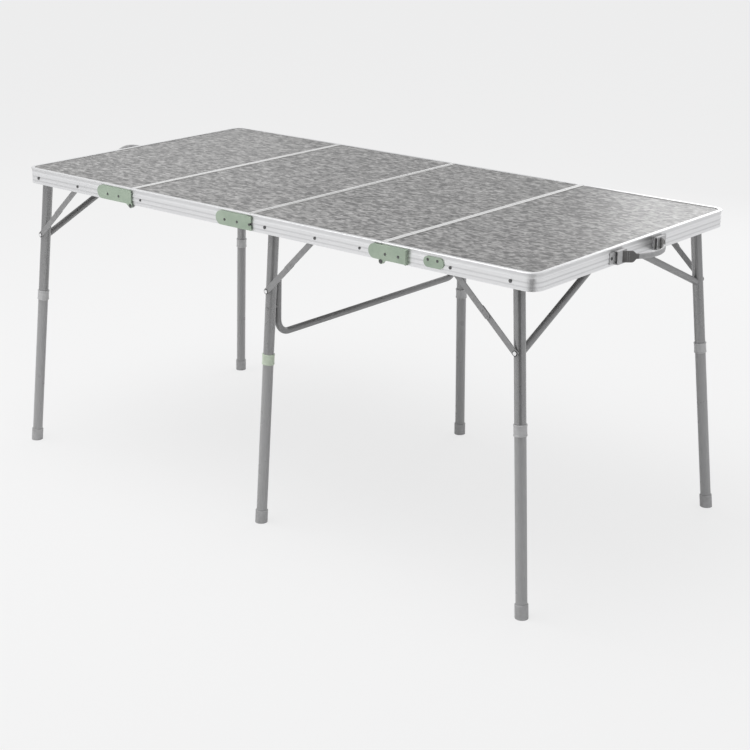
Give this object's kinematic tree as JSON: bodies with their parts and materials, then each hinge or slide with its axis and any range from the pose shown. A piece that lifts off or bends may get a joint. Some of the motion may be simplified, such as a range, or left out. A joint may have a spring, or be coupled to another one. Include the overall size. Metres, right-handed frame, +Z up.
{
  "type": "folding table",
  "caption": "Long folding camping table: hinged laminated panels in ribbed aluminium rails, splayed tubular legs with folding stays and plug-in extensions.",
  "frame": {"origin": "on the floor under the middle of the top", "axes": "+X along the table to the right, +Y from the front to the back, +Z up"},
  "size_m": [1.6, 0.7728, 0.7123],
  "materials": {
    "laminate": "satin",
    "rail": "satin",
    "trim": "satin",
    "green_plate": "satin",
    "steel": "satin",
    "rivet": "satin",
    "strap": "matte",
    "clip": "matte",
    "leg_tube": "satin",
    "collar": "satin",
    "stay": "satin",
    "foot": "matte"
  },
  "bodies": {
    "panel_1": {"board_1": "laminate", "rail_1": "rail", "seam_bar_1": "trim", "plates_1": "green_plate", "rivets_1": "rivet", "handle_1": "strap", "clips_1": "clip"},
    "panel_2": {"board_2": "laminate", "rail_2_front": "rail", "rail_2_back": "rail", "seam_bars_2": "trim", "ears_2": "steel", "plates_2": "green_plate", "rivets_2": "rivet"},
    "panel_3": {"board_3": "laminate", "rail_3_front": "rail", "rail_3_back": "rail", "seam_bars_3": "trim", "ears_3": "steel", "rivets_3": "rivet"},
    "panel_4": {"board_4": "laminate", "rail_4": "rail", "seam_bar_4": "trim", "plates_4": "green_plate", "rivets_4": "rivet", "handle_4": "strap", "clips_4": "clip"},
    "leg_pair_left": {"legs_left": "leg_tube", "frame_left": "leg_tube", "collars_left": "collar"},
    "leg_pair_mid": {"legs_mid": "leg_tube", "stretcher_mid": "leg_tube", "collars_mid": "collar"},
    "leg_pair_right": {"legs_right": "leg_tube", "frame_right": "leg_tube", "collars_right": "collar"},
    "stay_top_left_front": {"stay_top_left_front": "stay"},
    "stay_low_left_front": {"stay_low_left_front": "stay"},
    "extension_left_front": {"extension_left_front": "leg_tube", "foot_left_front": "foot"},
    "stay_top_left_back": {"stay_top_left_back": "stay"},
    "stay_low_left_back": {"stay_low_left_back": "stay"},
    "extension_left_back": {"extension_left_back": "leg_tube", "foot_left_back": "foot"},
    "stay_top_mid_front": {"stay_top_mid_front": "stay"},
    "stay_low_mid_front": {"stay_low_mid_front": "stay"},
    "extension_mid_front": {"extension_mid_front": "leg_tube", "foot_mid_front": "foot"},
    "stay_top_mid_back": {"stay_top_mid_back": "stay"},
    "stay_low_mid_back": {"stay_low_mid_back": "stay"},
    "extension_mid_back": {"extension_mid_back": "leg_tube", "foot_mid_back": "foot"},
    "stay_top_right_front": {"stay_top_right_front": "stay"},
    "stay_low_right_front": {"stay_low_right_front": "stay"},
    "extension_right_front": {"extension_right_front": "leg_tube", "foot_right_front": "foot"},
    "stay_top_right_back": {"stay_top_right_back": "stay"},
    "stay_low_right_back": {"stay_low_right_back": "stay"},
    "extension_right_back": {"extension_right_back": "leg_tube", "foot_right_back": "foot"}
  },
  "joints": [
    {"name": "seam_2", "type": "hinge", "parent": "panel_3", "child": "panel_2", "pos_m": [0, 0, 0.7103], "axis": [0, 1, 0], "range_deg": [0, 180]},
    {"name": "seam_1", "type": "hinge", "parent": "panel_2", "child": "panel_1", "pos_m": [-0.375, 0, 0.6706], "axis": [0, -1, 0], "range_deg": [0, 55]},
    {"name": "seam_3", "type": "hinge", "parent": "panel_3", "child": "panel_4", "pos_m": [0.375, 0, 0.6706], "axis": [0, -1, 0], "range_deg": [-25, 0]},
    {"name": "fold_left", "type": "hinge", "parent": "panel_1", "child": "leg_pair_left", "pos_m": [-0.708, 0, 0.6872], "axis": [0, 1, 0], "range_deg": [-85, 0]},
    {"name": "stay_top_left_front_turn", "type": "hinge", "parent": "panel_1", "child": "stay_top_left_front", "pos_m": [-0.564, -0.3609, 0.6872], "axis": [0, 1, 0], "range_deg": [0, 40.73]},
    {"name": "stay_low_left_front_turn", "type": "hinge", "parent": "leg_pair_left", "child": "stay_low_left_front", "pos_m": [-0.72068, -0.3586, 0.54376], "axis": [0, 1, 0], "range_deg": [-40.73, 0]},
    {"name": "extension_left_front_slide", "type": "slide", "parent": "leg_pair_left", "child": "extension_left_front", "axis": [0.0879, 0.0541, 0.9947], "range_m": [-0.04, 0]},
    {"name": "stay_top_left_back_turn", "type": "hinge", "parent": "panel_1", "child": "stay_top_left_back", "pos_m": [-0.564, 0.3609, 0.6872], "axis": [0, 1, 0], "range_deg": [0, 40.73]},
    {"name": "stay_low_left_back_turn", "type": "hinge", "parent": "leg_pair_left", "child": "stay_low_left_back", "pos_m": [-0.72068, 0.3586, 0.54376], "axis": [0, 1, 0], "range_deg": [-40.73, 0]},
    {"name": "extension_left_back_slide", "type": "slide", "parent": "leg_pair_left", "child": "extension_left_back", "axis": [0.0879, -0.0541, 0.9947], "range_m": [-0.04, 0]},
    {"name": "fold_mid", "type": "hinge", "parent": "panel_3", "child": "leg_pair_mid", "pos_m": [0.048, 0, 0.6872], "axis": [0, 1, 0], "range_deg": [-40, 0]},
    {"name": "stay_top_mid_front_turn", "type": "hinge", "parent": "panel_3", "child": "stay_top_mid_front", "pos_m": [0.192, -0.3609, 0.6872], "axis": [0, 1, 0], "range_deg": [0, 32.71]},
    {"name": "stay_low_mid_front_turn", "type": "hinge", "parent": "leg_pair_mid", "child": "stay_low_mid_front", "pos_m": [0.04423, -0.3586, 0.54325], "axis": [0, 1, 0], "range_deg": [-32.71, 0]},
    {"name": "extension_mid_front_slide", "type": "slide", "parent": "leg_pair_mid", "child": "extension_mid_front", "axis": [-0.0261, -0.0541, -0.9982], "range_m": [0, 0.04]},
    {"name": "stay_top_mid_back_turn", "type": "hinge", "parent": "panel_3", "child": "stay_top_mid_back", "pos_m": [0.192, 0.3609, 0.6872], "axis": [0, 1, 0], "range_deg": [0, 32.71]},
    {"name": "stay_low_mid_back_turn", "type": "hinge", "parent": "leg_pair_mid", "child": "stay_low_mid_back", "pos_m": [0.04423, 0.3586, 0.54325], "axis": [0, 1, 0], "range_deg": [-32.71, 0]},
    {"name": "extension_mid_back_slide", "type": "slide", "parent": "leg_pair_mid", "child": "extension_mid_back", "axis": [-0.0261, 0.0541, -0.9982], "range_m": [0, 0.04]},
    {"name": "fold_right", "type": "hinge", "parent": "panel_4", "child": "leg_pair_right", "pos_m": [0.692, 0, 0.6872], "axis": [0, 1, 0], "range_deg": [0, 68]},
    {"name": "stay_top_right_front_turn", "type": "hinge", "parent": "panel_4", "child": "stay_top_right_front", "pos_m": [0.548, -0.3609, 0.6872], "axis": [0, 1, 0], "range_deg": [-37.56, 0]},
    {"name": "stay_low_right_front_turn", "type": "hinge", "parent": "leg_pair_right", "child": "stay_low_right_front", "pos_m": [0.70468, -0.3586, 0.54376], "axis": [0, 1, 0], "range_deg": [0, 37.56]},
    {"name": "extension_right_front_slide", "type": "slide", "parent": "leg_pair_right", "child": "extension_right_front", "axis": [-0.0879, 0.0541, 0.9947], "range_m": [-0.04, 0]},
    {"name": "stay_top_right_back_turn", "type": "hinge", "parent": "panel_4", "child": "stay_top_right_back", "pos_m": [0.548, 0.3609, 0.6872], "axis": [0, 1, 0], "range_deg": [-37.56, 0]},
    {"name": "stay_low_right_back_turn", "type": "hinge", "parent": "leg_pair_right", "child": "stay_low_right_back", "pos_m": [0.70468, 0.3586, 0.54376], "axis": [0, 1, 0], "range_deg": [0, 37.56]},
    {"name": "extension_right_back_slide", "type": "slide", "parent": "leg_pair_right", "child": "extension_right_back", "axis": [-0.0879, -0.0541, 0.9947], "range_m": [-0.04, 0]}
  ],
  "couplings": [
    {"joint": "stay_top_left_front_turn", "follows": "fold_left", "ratio": -0.47858},
    {"joint": "stay_low_left_front_turn", "follows": "fold_left", "ratio": 0.47858},
    {"joint": "stay_top_left_back_turn", "follows": "fold_left", "ratio": -0.47858},
    {"joint": "stay_low_left_back_turn", "follows": "fold_left", "ratio": 0.47858},
    {"joint": "stay_top_mid_front_turn", "follows": "fold_mid", "ratio": -0.81656},
    {"joint": "stay_low_mid_front_turn", "follows": "fold_mid", "ratio": 0.81656},
    {"joint": "stay_top_mid_back_turn", "follows": "fold_mid", "ratio": -0.81656},
    {"joint": "stay_low_mid_back_turn", "follows": "fold_mid", "ratio": 0.81656},
    {"joint": "stay_top_right_front_turn", "follows": "fold_right", "ratio": -0.55167},
    {"joint": "stay_low_right_front_turn", "follows": "fold_right", "ratio": 0.55167},
    {"joint": "stay_top_right_back_turn", "follows": "fold_right", "ratio": -0.55167},
    {"joint": "stay_low_right_back_turn", "follows": "fold_right", "ratio": 0.55167}
  ]
}
